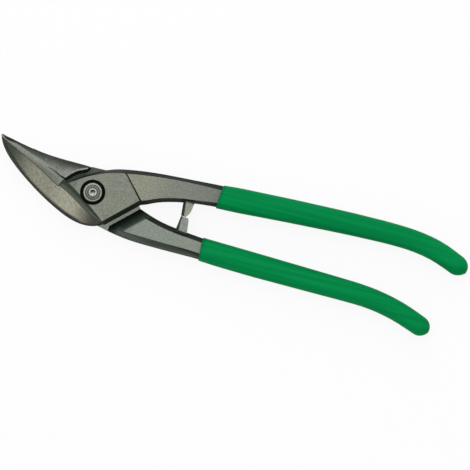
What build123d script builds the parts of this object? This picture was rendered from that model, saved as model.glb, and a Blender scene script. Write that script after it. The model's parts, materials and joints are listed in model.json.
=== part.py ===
from build123d import *
import os
from math import cos, radians, sin

os.makedirs("parts", exist_ok=True)

# Forged pass-through tin snips lying flat: pivot axis on Z, handles towards +X,
# origin on the pivot axis in the plane that the tool rests on.  Millimetres.

# ---- driving dimensions ------------------------------------------------------
mating_z = 8.0            # height of the plane in which the blades slide
boss_height = 6.0         # pivot boss, from the mating plane to its facet
handle_half = 5.6         # handle forging, from the mating plane to its facet
parting_half = 1.2        # upright band left where the flash was trimmed
flash_ledge = 0.25        # share of the handles' draft that the flash line takes up
flash_rise = 0.5
facet_bevel = 0.5         # height of the broken edge along the handles' facets
boss_bevel = 0.3          # height of the broken edge round the boss facet
bevel_run = 0.1           # share of the draft that a broken edge goes on inwards
blade_thickness = 2.9     # ground blade at its heel
knee_rise = 1.3           # the boss wall steepens this far above the blade
blade_bend = 34.0         # where the ground face starts to fall to the point
tip_thickness = 1.4
crest_angle = 24          # slope of the upper blade's crest behind its flat face
crest_run = 1.9           # how far the steep edge along the crest leans in over its height
crest_depth = 2.5         # height of that steep edge
ramp_angle = 21.8         # direction in plan in which the ramp on the upper blade climbs
ramp_start = (-28.0, -0.6)    # along that direction, and from the mating plane up
ramp_end = (-3.0, 5.8)
ramp_radius = 68.0        # hollow of the ramp
ramp_dip = 20             # slope with which its front end dips under the crest's slope
ramp_depth = 2.6          # how far the ramp's body reaches into the blade
ramp_draft = 0.4
ramp_back_draft = 2.0
ramp_wall_lean = 45       # slope of the wall beside the blade's flat band
relief_depth = 1.4        # channel in front of the ramp's shoulder
step_groove_depth = 0.75  # groove along the step between a boss and its handle
step_groove_rod = 1.0     # side of the square that the groove's section is cut from
lap_clearance = 0.04      # running gap between the two blades
jaw_reach = 61.25         # pivot axis to the points
tip_relief = 0.2          # share of a blade's side draft that is left at its point
blade_overlap = 1.3       # how far the edges pass each other when closed
edge_relief = 0.25        # lean of a blade's cutting edge over its thickness
belly_bevel = 1.2         # lean of the lower blade's belly
crest_relief = 0.6        # lean of the upper blade's crest towards its outer face
wall_reach = 21.5         # pivot axis to the foot of the handle's step
wall_run = 5.4            # how far the step leans back over its height

bolt_head_diameter = 12.0
bolt_head_height = 2.6
head_chamfer = 0.7
dimple_radius = 1.8
dimple_depth = 0.9
bolt_journal_diameter = 9.5
bolt_flats = 8.0
bolt_thread_diameter = 8.0
bolt_end_chamfer = 0.7
journal_clearance = 0.04
head_pocket_diameter = 14.1
head_pocket_depth = 2.8
nut_pocket_diameter = 18.4
nut_pocket_depth = 3.0
nut_across_flats = 13.0
nut_thickness = 4.0
spring_thickness = 0.6
spring_cone = 0.2         # how far the spring's bore stands below its rim
spring_outer_diameter = 16.0

grip_start = 68.7         # pivot axis to the front edge of the grips
upper_reach = 217.8       # pivot axis to the end of the upper grip
reach_step = 8.8          # how much shorter the lower grip is
lower_reach = upper_reach - reach_step
grip_coat = 1.0           # vinyl over the sides of the tang
tang_draft = 2.6          # draft on each side of the tang inside the grip
grip_half = mating_z      # the grips lie on the same plane as the bolt's end
grip_corner = 5.4
grip_end_radius = 5.0
end_spans = 3             # straight-sided rings that round a grip's end
tang_stop = 0.93          # share of the grip that the steel tang fills

stop_gap = 0.2            # between the two stop lugs when the jaws are closed
stop_reach = 52.0         # pivot axis to the front of the lugs' meeting faces
stop_height = 4.75        # where the lugs meet, across the tool
upper_lug_half = 2.6      # half the thickness of the upper handle's lug
lower_lug_half = 4.2
lug_draft = 1.1           # lean of the lugs' front sides

# ---- outlines ----------------------------------------------------------------
flip_angle = 3.45         # bisector of the two forgings at the pivot
wall_angle = 48.2         # direction of the upper handle's step from the pivot


def flipped(shape):
    """Turn a shape over about the bisector that lies in the mating plane."""
    axis = Axis((0, 0, 0), (cos(radians(flip_angle)), sin(radians(flip_angle)), 0))
    return shape.rotate(axis, 180)


def flipped_point(x, y):
    """Where a plan point lands when the forging is turned over."""
    turn = radians(2 * flip_angle)
    return (x * cos(turn) + y * sin(turn), x * sin(turn) - y * cos(turn))


def jaw(points):
    """Blade outline points, given as a share of the reach and a height."""
    return [(-share * jaw_reach, y) for share, y in points]


def layer(edges, z):
    """Closed plan outline as a face at height z."""
    return Pos(0, 0, z) * make_face(edges)


def drafted(layers):
    """Solid with straight drafted sides through plan outlines."""
    return loft([layer(edges, z) for edges, z in layers], ruled=True)


def between(near, far, share):
    """Points a share of the way from one line of points to another."""
    return [(x + share * (u - x), y + share * (v - y)) for (x, y), (u, v) in zip(near, far)]


def boss_outline(points):
    """Crown curve, step line, inner side, foot curve and nose of the pivot boss."""
    crown, top, crotch, toe, foot = points[:4], points[3], points[4], points[5], points[5:]
    return [
        Spline(*crown),
        Line(top, crotch),
        Line(crotch, toe),
        Spline(*foot),
        Line(foot[-1], crown[0]),
    ]


def boss():
    """Half-thickness pivot boss, from the mating plane up to its facet."""
    base = [(-16.1, 0.6), (-8.7, 6.5), (0.6, 13.2), (11.9, 18.4), (28.8, 2.8),
            (12.8, -15.3), (6.5, -14.6), (-5, -9.8), (-19.9, -3.3)]
    foot = [(-15.4, 0.5), (-8.5, 6.2), (1.0, 12.65), (12.7, 17.5), (28.0, 3.9),
            (11.8, -14.6), (6.0, -13.7), (-5, -9.2), (-19.6, -3.1)]
    knee = [(-15.0, 0.45), (-8.35, 6.0), (1.2, 12.35), (13.1, 17.0), (27.6, 4.4),
            (11.3, -14.3), (5.4, -12.0), (-5, -6.8), (-18.0, -1.3)]
    facet = [(-14.5, 0.4), (-8.2, 5.8), (1.5, 12.0), (13.4, 16.5), (27.2, 4.9),
             (10.8, -13.9), (5.0, -10.5), (-5, -4.9), (-15.0, -0.05)]
    rows = [
        (base, 0),
        (foot, blade_thickness),
        (knee, blade_thickness + knee_rise),
        (facet, boss_height - boss_bevel),
        (between(foot, facet, 1 + bevel_run), boss_height),
    ]
    return drafted([(boss_outline(points), z) for points, z in rows])


# ---- grips and the tangs inside them -----------------------------------------
def grip_side(stations, reach, side, inset=0):
    """Points down one side of a grip, moved in by an inset."""
    length = reach - grip_end_radius - grip_start
    points = [(grip_start + share * length, y) for share, y, _ in stations]
    spine = Spline(*points)
    line = []
    for (_, _, width), point in zip(stations, points):
        direction = spine % spine.param_at_point(Vector(*point))
        out = side * (width / 2 - inset)
        line.append((point[0] - direction.Y * out, point[1] + direction.X * out))
    return line


def tang_side(stations, reach, side, inset):
    """The part of a grip's side that the steel tang reaches, behind its first station."""
    line = grip_side(stations, reach, side, inset)
    return [point for point, row in zip(line, stations) if 0 < row[0] <= tang_stop]


def grip_section(left, right, inset, ahead):
    """Rounded section between a grip's two sides, drawn in and set ahead at the end."""
    across = (right - left).normalized()
    along = across.cross(Vector(0, 0, -1))
    plane = Plane(origin=(left + right) / 2 + along * ahead, x_dir=across, z_dir=along)
    width = (right - left).length - 2 * inset
    return plane * RectangleRounded(width, 2 * (grip_half - inset), grip_corner - inset)


def grip_body(stations, reach):
    """Solid grip with rounded corners and a rounded end."""
    pairs = list(zip(grip_side(stations, reach, 1), grip_side(stations, reach, -1)))
    sections = [grip_section(Vector(*left), Vector(*right), 0, 0) for left, right in pairs]
    left, right = Vector(*pairs[-1][0]), Vector(*pairs[-1][1])
    for step in range(1, end_spans + 1):
        turn = radians(90 * step / end_spans)
        inset = grip_end_radius * (1 - cos(turn))
        sections.append(grip_section(left, right, inset, grip_end_radius * sin(turn)))
    return loft(sections, ruled=True)


upper_stations = [
    (0.0, 22.4, 13.4), (0.062, 23.8, 14.4), (0.3, 29.0, 13.8), (0.53, 33.6, 13.1),
    (0.69, 36.25, 12.6), (0.8, 37.2, 12.3), (0.9, 36.0, 12.2), (1.0, 31.85, 11.8),
]
lower_stations = [
    (0.0, -9.5, 13.2), (0.062, -9.15, 13.9), (0.25, -7.45, 14.0), (0.5, -4.85, 13.2),
    (0.69, -2.9, 12.5), (0.78, -2.7, 12.1), (0.89, -4.4, 11.9), (1.0, -8.2, 11.6),
]


# ---- handles -----------------------------------------------------------------
def handle(stations, reach, outer, inner, facet_outer, facet_inner):
    """Full-thickness handle forging with draft on both sides of the parting.

    Each line runs from the boss to the grip, and the tang inside the grip carries
    it on.  The side that faces away from the other handle is the outer one.
    """
    side = 1 if stations[0][1] > 0 else -1

    def outline(share):
        inset = grip_coat + share * tang_draft
        outer_line = between(outer, facet_outer, share) + tang_side(stations, reach, side, inset)
        inner_line = between(inner, facet_inner, share) + tang_side(stations, reach, -side, inset)
        return [
            Spline(*outer_line),
            Line(outer_line[-1], inner_line[-1]),
            Spline(*reversed(inner_line)),
            Line(inner_line[0], outer_line[0]),
        ]

    rows = [
        (0, 0),
        (0, parting_half),
        (flash_ledge, parting_half + flash_rise),
        (1, handle_half - facet_bevel),
        (1 + bevel_run, handle_half),
    ]
    front = drafted([(outline(share), z) for share, z in rows])
    back = drafted([(outline(share), -z) for share, z in rows])
    return front + back


# ---- step between a handle and its boss ----------------------------------------
def step_point(along, reach=wall_reach):
    """Point on the foot of the upper handle's step; along runs away from the crotch."""
    turn = radians(wall_angle)
    return (reach * cos(turn) - along * sin(turn), reach * sin(turn) + along * cos(turn))


def lap_cut():
    """Everything that the upper forging gives up so that the other can lie on it."""
    bend = step_point(1.0)
    corners = [(bend[0] - 0.5, bend[1] + 6), bend, step_point(-24)]
    far = [(60, -60), (-90, -60), (-90, 60), (bend[0] - 0.5, 60)]

    def outline(run):
        away = Vector(run * cos(radians(wall_angle)), run * sin(radians(wall_angle)))
        return Polyline(*[Vector(*p) + away for p in corners], *far, close=True)

    depth = handle_half + 2
    near = layer(outline(0), lap_clearance / 2)
    deep = layer(outline(wall_run * depth / handle_half), -depth)
    return loft([near, deep], ruled=True)


# ---- blades --------------------------------------------------------------------
def beside(points, distance, tip=None):
    """Points moved sideways off the smooth curve through them; tip moves least."""
    curve = Spline(*points)
    moved = []
    for point in points:
        direction = curve % curve.param_at_point(Vector(*point))
        shift = distance * (tip_relief if point == tip else 1)
        moved.append((point[0] - direction.Y * shift, point[1] + direction.X * shift))
    return moved


def blade(edge, spine, root, edge_relief, spine_relief):
    """Blade from the mating plane up; edge runs to the point, spine back from it."""
    def outline(edge_points, spine_points):
        return [
            Spline(*edge_points),
            Line(edge_points[-1], spine_points[0]),
            Spline(*spine_points),
            Polyline(spine_points[-1], *root, edge_points[0]),
        ]

    wide = outline(edge, spine)
    narrow = outline(beside(edge, edge_relief, edge[-1]), beside(spine, spine_relief, spine[0]))
    return drafted([(wide, 0), (narrow, blade_thickness)])


def ground_face(tip, away):
    """Everything under a blade's ground outer face, which falls off to its tip."""
    away = Vector(*away, 0).normalized()
    end = Vector(Vector(*tip).dot(away), tip_thickness)
    start = Vector(blade_bend, blade_thickness)
    run = end.X - start.X
    drop = start.Y - end.Y
    radius = (run ** 2 + drop ** 2) / (2 * drop)
    sag = radius - (radius ** 2 - (run / 2) ** 2) ** 0.5
    profile = [
        ThreePointArc(start, start + Vector(run / 2, -sag), end),
        Polyline(end, end + Vector(5, 0), (end.X + 5, -1), (-40, -1), (-40, start.Y), start),
    ]
    plane = Plane(origin=(0, 0, 0), x_dir=away, z_dir=away.cross(Vector(0, 0, 1)))
    return extrude(plane * make_face(profile), 60, both=True)


edge_line = [(0.323, -3.3), (0.405, -1.4), (0.486, 0.9), (0.648, 5.0), (0.81, 8.6), (0.985, 12.4)]
lower_edge = jaw(edge_line)
belly = jaw([
    (0.984, 11.9), (0.937, 7.6), (0.797, 0.2), (0.648, -5.4), (0.454, -11.5), (0.258, -16.4),
    (0.065, -19.4), (-0.08, -18.9), (-0.198, -15.0),
])
upper_edge = jaw([(0.18, -5.2)] + [(share, y - blade_overlap) for share, y in edge_line[:-1]]
                 + [(0.993, 12.7)])
crest = jaw([
    (0.993, 13.5), (0.976, 14.2), (0.95, 14.15), (0.845, 13.3), (0.652, 12.2), (0.52, 11.8),
    (0.357, 12.2), (0.162, 13.2), (-0.032, 14.5), (-0.17, 16.1),
])
blade_root = [(9, -11), (-14, -1.5)]      # inside the boss
crest_flat = jaw([(0.955, 13.0), (0.49, 6.1)])
ramp_border = [(-44, 9.6), (-36, 7.5), (-31, 5.9), (-25, 3.8), (-19.0, 1.6)]
ramp_shoulder = [(-17.9, 1.9), (-15.5, 5.2), (-12.4, 8.3), (-9.8, 9.8), (-7.3, 11.2)]
ramp_back = [(-6.7, 13.4), (-16, 12.65), (-22, 12.15), (-28, 11.8), (-36, 11.75), (-44, 12.4)]
relief_edge = [(-17.2, 0.8), (-14.4, 3.5), (-11.8, 6.6), (-8.7, 8.6), (-6.2, 10.7), (-5.6, 13.0)]


def lower_blade():
    """Blade of the upper handle: outer face ground, belly bevelled."""
    shape = blade(lower_edge, belly, blade_root, edge_relief, belly_bevel)
    return shape & ground_face(belly[0], (-2, -1))


def upper_blade():
    """Blade of the lower handle, on the other side of the mating plane."""
    root = [flipped_point(*point) for point in blade_root]
    shape = blade(upper_edge, crest, root, -edge_relief, -crest_relief)
    return mirror(shape & ground_face(crest[0], (-4, 1)), about=Plane.XY)


def sloped_cut(start, end, slope, before, after):
    """Block above a plane that falls away from the line between two points."""
    start = Vector(*start)
    end = Vector(*end)
    along = (end - start).normalized()
    across = Vector(-along.Y, along.X, 0)
    fall = across * cos(radians(slope)) - Vector(0, 0, 1) * sin(radians(slope))
    plane = Plane(origin=start - along * before, x_dir=along, z_dir=along.cross(fall))
    length = (end - start).length + before + after
    return extrude(plane * Pos(length / 2, 10) * Rectangle(length, 20), 8)


def crest_edge():
    """Everything beyond the steep edge that runs along the upper blade's crest."""
    def outline(points):
        return [Spline(*points), Polyline(points[-1], (-10, 30), (-70, 30), (-70, 14), points[0])]

    line = crest[1:-2]
    return drafted([
        (outline(line), -crest_depth),
        (outline(beside(line, -crest_run, line[0])), 0.1),
    ])


def ramp():
    """Raised back of the upper blade that lifts the cut sheet over the boss."""
    def outline(border, shoulder, back):
        return [
            Spline(*border),
            Line(border[-1], shoulder[0]),
            Spline(*shoulder),
            Line(shoulder[-1], back[0]),
            Spline(*back),
            Line(back[-1], border[0]),
        ]

    low = outline(ramp_border, ramp_shoulder, ramp_back)
    high = outline(
        ramp_border,
        beside(ramp_shoulder, ramp_draft),
        beside(ramp_back, ramp_back_draft, ramp_back[0]),
    )
    body = drafted([(low, -ramp_depth), (low, 0), (high, boss_height)])
    start = Vector(*ramp_start)
    end = Vector(*ramp_end)
    dip = start + Vector(-cos(radians(ramp_dip)), -sin(radians(ramp_dip))) * 20
    profile = [
        RadiusArc(start, end, -ramp_radius),
        Polyline(end, (20, end.Y), (20, -9), (dip.X, -9), dip, start),
    ]
    climb = Vector(cos(radians(ramp_angle)), sin(radians(ramp_angle)), 0)
    plane = Plane(origin=(0, 0, 0), x_dir=climb, z_dir=climb.cross(Vector(0, 0, 1)))
    wall = sloped_cut(ramp_border[-1], ramp_border[2], -ramp_wall_lean, 10, 20)
    return (body & extrude(plane * make_face(profile), 60, both=True)) - wall


def relief():
    """Channel in the mating face in front of the ramp's shoulder."""
    under = [(-5.4, 16), (-8.5, 16), (-9.0, 11.5), (-12.5, 9.3), (-16.4, 5.0), (-18.4, 1.9)]
    outline = [Spline(*relief_edge), Polyline(relief_edge[-1], *under, relief_edge[0])]
    return extrude(layer(outline, -relief_depth), relief_depth + 1)


def step_groove():
    """Square rod, on its edge, that cuts the groove along the step of the upper handle."""
    rise = boss_height - step_groove_depth + step_groove_rod / 2 ** 0.5
    start = Vector(12.1, 18.9, rise)
    end = Vector(28.7, 4.0, rise)
    plane = Plane(origin=start, x_dir=Vector(0, 0, 1), z_dir=end - start)
    rod = Rectangle(step_groove_rod, step_groove_rod, rotation=45)
    return extrude(plane * rod, (end - start).length)


# ---- the two forgings ------------------------------------------------------------
def disc(diameter, low, high):
    """Upright cylinder on the pivot axis between two heights."""
    return Pos(0, 0, low) * extrude(Circle(diameter / 2), high - low)


def keyed_hole(low, high):
    """Round hole with two flats that keeps the bolt from turning."""
    profile = Circle(bolt_journal_diameter / 2) & Rectangle(bolt_journal_diameter, bolt_flats)
    return Pos(0, 0, low) * extrude(profile, high - low)


head_seat = boss_height - head_pocket_depth
spring_seat = nut_pocket_depth - boss_height
upper_lug = [
    (0.3, stop_height + stop_gap / 2), (-1.0, 12.0), (-1.6, 14.6), (5.5, 15.6),
    (5.2, 13.4), (4.9, 8.2), (3.2, stop_height + stop_gap / 2),
]
lower_lug = [
    (0.4, stop_height - stop_gap / 2), (0.1, -3.0), (-0.6, -5.0), (7.4, -5.0),
    (6.7, -2.4), (5.3, 3.9), (4.6, stop_height - stop_gap / 2),
]


def lug(corners, half):
    """Stop lug that keeps the handles apart when the jaws are closed."""
    front, rest = corners[:3], corners[3:]
    wide = Polyline(*corners, close=True)
    narrow = Polyline(*[(x + lug_draft, y) for x, y in front], *rest, close=True)
    shape = drafted([(narrow, -half), (wide, 0), (narrow, half)])
    return Pos(stop_reach, 0, 0) * shape


upper_handle = handle(
    upper_stations, upper_reach,
    [(11.0, 18.1), (20, 20.6), (36, 23.9), (54, 26.7), (66, 28.6)],
    [(27.4, 2.2), (30, 3.2), (36, 6.6), (42, 9.3), (51, 12.3), (60, 14.5), (66, 15.7)],
    [(12.5, 16.3), (20, 18.4), (35, 21.8), (55, 25.0), (66, 26.3)],
    [(27.0, 4.6), (30.8, 6.1), (35, 8.5), (40.3, 10.9), (51, 14.4), (60.8, 16.5), (66, 17.8)],
)
lower_handle = handle(
    lower_stations, lower_reach,
    [(8.6, -17.2), (14, -17.9), (26, -18.8), (40, -18.2), (54, -17.0), (66, -15.85)],
    [(28.6, 0.5), (33, -0.6), (42, -2.4), (51, -3.1), (60, -3.3), (66, -3.3)],
    [(12.0, -14.9), (18, -15.3), (26, -15.3), (40, -14.5), (54, -13.4), (66, -12.5)],
    [(27.0, -2.6), (32.4, -3.4), (37, -4.2), (45.5, -5.3), (55, -5.8), (66, -5.6)],
)

upper_half = upper_handle + boss() + lower_blade() - lap_cut() + lug(upper_lug, upper_lug_half)
upper_half -= step_groove()
upper_half -= disc(head_pocket_diameter, head_seat, boss_height + 1)
upper_half -= keyed_hole(-1, head_seat)

lower_half = lower_handle + flipped(boss()) + upper_blade() - flipped(lap_cut()) + lug(lower_lug, lower_lug_half)
lower_half -= flipped(step_groove())
lower_half = lower_half - sloped_cut(*crest_flat, crest_angle, 10, 3) - crest_edge() - relief() + ramp()
lower_half -= disc(nut_pocket_diameter, -boss_height - 1, spring_seat)
lower_half -= disc(bolt_journal_diameter + 2 * journal_clearance, spring_seat - 1, 1)

# ---- pivot ---------------------------------------------------------------------
bolt_end = -mating_z
nut_top = spring_seat - spring_thickness - spring_cone


def turned(points):
    """Solid of revolution about the pivot axis through (radius, height) points."""
    return revolve(make_face(Plane.XZ * Polyline(*points, close=True)), Axis.Z)


def pivot_bolt():
    """Keyed bolt with a turned round head and a centre dimple."""
    rim = bolt_head_diameter / 2
    top = head_seat + bolt_head_height
    head = [
        (0, top - dimple_depth), (dimple_radius, top), (rim - head_chamfer, top),
        (rim, top - head_chamfer), (rim, head_seat),
    ]
    thread = bolt_thread_diameter / 2
    journal = bolt_journal_diameter / 2
    shank = [
        (journal, head_seat),
        (journal, spring_seat + 0.1),
        (thread, spring_seat + 0.1),
        (thread, bolt_end + bolt_end_chamfer),
        (thread - bolt_end_chamfer, bolt_end),
        (0, bolt_end),
    ]
    blank = turned(head + shank)
    flats = disc(bolt_head_diameter, lap_clearance / 2, head_seat) - keyed_hole(-1, head_seat + 1)
    return blank - flats


def disc_spring():
    """Shallow cone washer; its rim bears on the lower forging, its bore on the nut."""
    inner = bolt_thread_diameter / 2 + 0.1
    outer = spring_outer_diameter / 2
    return turned([
        (inner, nut_top), (outer, nut_top + spring_cone),
        (outer, spring_seat), (inner, spring_seat - spring_cone),
    ])


def lock_nut():
    """Thin hexagon nut with chamfered corners."""
    flat = nut_across_flats / 2
    low = nut_top - nut_thickness
    corner = flat / cos(radians(30))
    rise = (corner - flat) * 0.6
    hexagon = Pos(0, 0, low) * extrude(RegularPolygon(flat, 6, major_radius=False), nut_thickness)
    bore = bolt_thread_diameter / 2
    blank = turned([
        (bore, low), (flat, low), (corner, low + rise), (corner, nut_top - rise),
        (flat, nut_top), (bore, nut_top),
    ])
    return hexagon & blank


parts = {
    "upper_half": upper_half,
    "lower_half": lower_half,
    "pivot_bolt": pivot_bolt(),
    "disc_spring": disc_spring(),
    "lock_nut": lock_nut(),
    "upper_grip": grip_body(upper_stations, upper_reach) - upper_handle,
    "lower_grip": grip_body(lower_stations, lower_reach) - lower_handle,
}
for name, shape in parts.items():
    export_step(Pos(0, 0, mating_z) * shape, f"parts/{name}.step")
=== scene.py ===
import json
import logging
import math
from dataclasses import dataclass
from enum import Enum

import bmesh
import bpy
from mathutils import Matrix, Vector


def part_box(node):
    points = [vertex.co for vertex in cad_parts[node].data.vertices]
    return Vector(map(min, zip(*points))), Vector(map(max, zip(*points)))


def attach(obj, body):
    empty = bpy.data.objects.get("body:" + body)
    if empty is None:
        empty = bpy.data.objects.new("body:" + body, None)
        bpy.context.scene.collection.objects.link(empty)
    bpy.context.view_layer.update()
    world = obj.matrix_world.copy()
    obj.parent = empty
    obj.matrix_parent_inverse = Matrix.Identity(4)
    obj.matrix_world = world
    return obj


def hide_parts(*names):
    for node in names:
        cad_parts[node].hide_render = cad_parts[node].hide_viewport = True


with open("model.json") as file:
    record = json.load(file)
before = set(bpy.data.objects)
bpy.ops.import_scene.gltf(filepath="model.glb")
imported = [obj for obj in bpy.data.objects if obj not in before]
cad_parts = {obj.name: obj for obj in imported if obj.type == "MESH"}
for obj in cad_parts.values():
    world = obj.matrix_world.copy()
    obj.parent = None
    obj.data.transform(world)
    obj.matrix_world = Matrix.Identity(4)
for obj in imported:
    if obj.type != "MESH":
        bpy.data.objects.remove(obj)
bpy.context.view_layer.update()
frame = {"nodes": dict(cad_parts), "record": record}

logging.basicConfig(level=logging.INFO, format="%(name)s: %(message)s")
log = logging.getLogger("tin_snips")

MM = 0.001
PER_MM = 1 / MM
PIVOT = Vector(frame["record"]["behaviour"]["joints"][0]["pos_m"])
MATING_HEIGHT = PIVOT.z
TOOL_MIDDLE = Vector((85.35 * MM, 4.9 * MM, MATING_HEIGHT))


class Body(Enum):
    """The two bodies that turn against each other at the pivot."""

    LOWER = "lower_assembly"
    UPPER = "upper_assembly"


class Slot(Enum):
    """Finishes that the record names."""

    FORGED = "forged_steel"
    TURNED = "turned_steel"
    SPRING = "spring_steel"
    PLATED = "plated_steel"
    VINYL = "green_vinyl"


def linear(red: int, green: int, blue: int) -> tuple[float, float, float, float]:
    """Turn a colour of 0 to 255 as it is seen into the linear colour that a shader takes.

    Args:
        red: red, 0 to 255.
        green: green, 0 to 255.
        blue: blue, 0 to 255.

    Returns:
        Linear red, green, blue and an alpha of 1.
    """
    def channel(value: int) -> float:
        """Linear value of one channel, by the sRGB curve."""
        share = value / 255
        return share / 12.92 if share <= 0.04045 else ((share + 0.055) / 1.055) ** 2.4

    return (channel(red), channel(green), channel(blue), 1.0)


# ---- shader building -----------------------------------------------------------------
@dataclass
class Wiring:
    """A node tree under construction.

    Attributes:
        tree: the material's or group's node tree.
    """

    tree: bpy.types.NodeTree

    def node(self, kind: str, **settings: object) -> bpy.types.Node:
        """Add a node and set its properties.

        Args:
            kind: the node's type name, without ShaderNode.
            settings: properties of the node.

        Returns:
            The new node.
        """
        made = self.tree.nodes.new("ShaderNode" + kind)
        for name, value in settings.items():
            setattr(made, name, value)
        return made

    def feed(self, value: object, socket: bpy.types.NodeSocket) -> None:
        """Give a socket a link, where value is a socket, or else a plain value.

        Args:
            value: an output socket, a number, a colour or a vector.
            socket: the input to feed.
        """
        if isinstance(value, bpy.types.NodeSocket):
            self.tree.links.new(value, socket)
        else:
            socket.default_value = value

    def feed_all(self, made: bpy.types.Node, **values: object) -> None:
        """Feed several inputs of a node.

        Args:
            made: the node.
            values: what feeds its inputs, with _ for a space in their names.
        """
        for name, value in values.items():
            self.feed(value, made.inputs[name.replace("_", " ")])

    def math(self, operation: str, first: object, second: object = 0.0,
             clamp: bool = True) -> bpy.types.NodeSocket:
        """Combine two numbers.

        Args:
            operation: a Math node's operation.
            first: its first input.
            second: its second input.
            clamp: whether the result is kept between 0 and 1.

        Returns:
            The result.
        """
        made = self.node("Math", operation=operation, use_clamp=clamp)
        self.feed(first, made.inputs[0])
        self.feed(second, made.inputs[1])
        return made.outputs[0]

    def vector(self, operation: str, first: object, second: object) -> bpy.types.Node:
        """Combine two vectors.

        Args:
            operation: a Vector Math node's operation.
            first: its first input.
            second: its second input.

        Returns:
            The node, with the outputs Vector and Value.
        """
        made = self.node("VectorMath", operation=operation)
        self.feed(first, made.inputs[0])
        self.feed(second, made.inputs[1])
        return made

    def noise(self, place: object, scale: object, detail: object) -> bpy.types.NodeSocket:
        """Noise in three dimensions.

        Args:
            place: where it is read.
            scale: how fine it is.
            detail: how many finer layers lie on it.

        Returns:
            Its value.
        """
        made = self.node("TexNoise", noise_dimensions="3D")
        self.feed_all(made, Vector=place, Scale=scale, Detail=detail)
        return made.outputs["Fac"]

    def ramp(self, value: object, low: float, high: float) -> bpy.types.NodeSocket:
        """Smooth step of a number from 0 at low to 1 at high.

        Args:
            value: the number.
            low: where the step starts; it may lie above high.
            high: where the step ends.

        Returns:
            The step.
        """
        made = self.node("MapRange", interpolation_type="SMOOTHSTEP")
        rises = low < high
        self.feed_all(made, Value=value, From_Min=min(low, high), From_Max=max(low, high),
                      To_Min=0.0 if rises else 1.0, To_Max=1.0 if rises else 0.0)
        return made.outputs["Result"]

    def mix(self, share: object, first: object, second: object) -> bpy.types.NodeSocket:
        """Blend two colours.

        Args:
            share: how much of the second, 0 to 1.
            first: colour at 0.
            second: colour at 1.

        Returns:
            The blended colour.
        """
        made = self.node("Mix", data_type="RGBA")
        self.feed_all(made, Factor=share, A=first, B=second)
        return made.outputs["Result"]

    def shade(self, colour: object, share: object, low: float, high: float) -> bpy.types.NodeSocket:
        """Darken or lighten a colour.

        Args:
            colour: the colour.
            share: a mask from 0 to 1.
            low: what the colour is multiplied by where the mask is 0.
            high: what it is multiplied by where the mask is 1.

        Returns:
            The shaded colour.
        """
        made = self.node("Mix", data_type="RGBA", blend_type="MULTIPLY")
        self.feed_all(made, Factor=1.0, A=colour, B=self.between(share, low, high))
        return made.outputs["Result"]

    def between(self, share: object, first: float, second: float) -> bpy.types.NodeSocket:
        """Blend two numbers.

        Args:
            share: how much of the second, 0 to 1.
            first: number at 0.
            second: number at 1.

        Returns:
            The blended number.
        """
        made = self.node("Mix", data_type="FLOAT")
        self.feed_all(made, Factor=share, A=first, B=second)
        return made.outputs["Result"]


def group(name: str, inputs: dict[str, tuple[str, object]], outputs: dict[str, str]) -> Wiring:
    """Start a shader node group with named sockets.

    Args:
        name: the group's name.
        inputs: for each input, its socket type and default value.
        outputs: for each output, its socket type.

    Returns:
        The group's wiring, with a Group Input and a Group Output node in it.
    """
    tree = bpy.data.node_groups.new(name, "ShaderNodeTree")
    for label, (kind, value) in inputs.items():
        made = tree.interface.new_socket(name=label, in_out="INPUT", socket_type="NodeSocket" + kind)
        made.default_value = value
    for label, kind in outputs.items():
        tree.interface.new_socket(name=label, in_out="OUTPUT", socket_type="NodeSocket" + kind)
    tree.nodes.new("NodeGroupInput")
    tree.nodes.new("NodeGroupOutput")
    return Wiring(tree)


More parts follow.
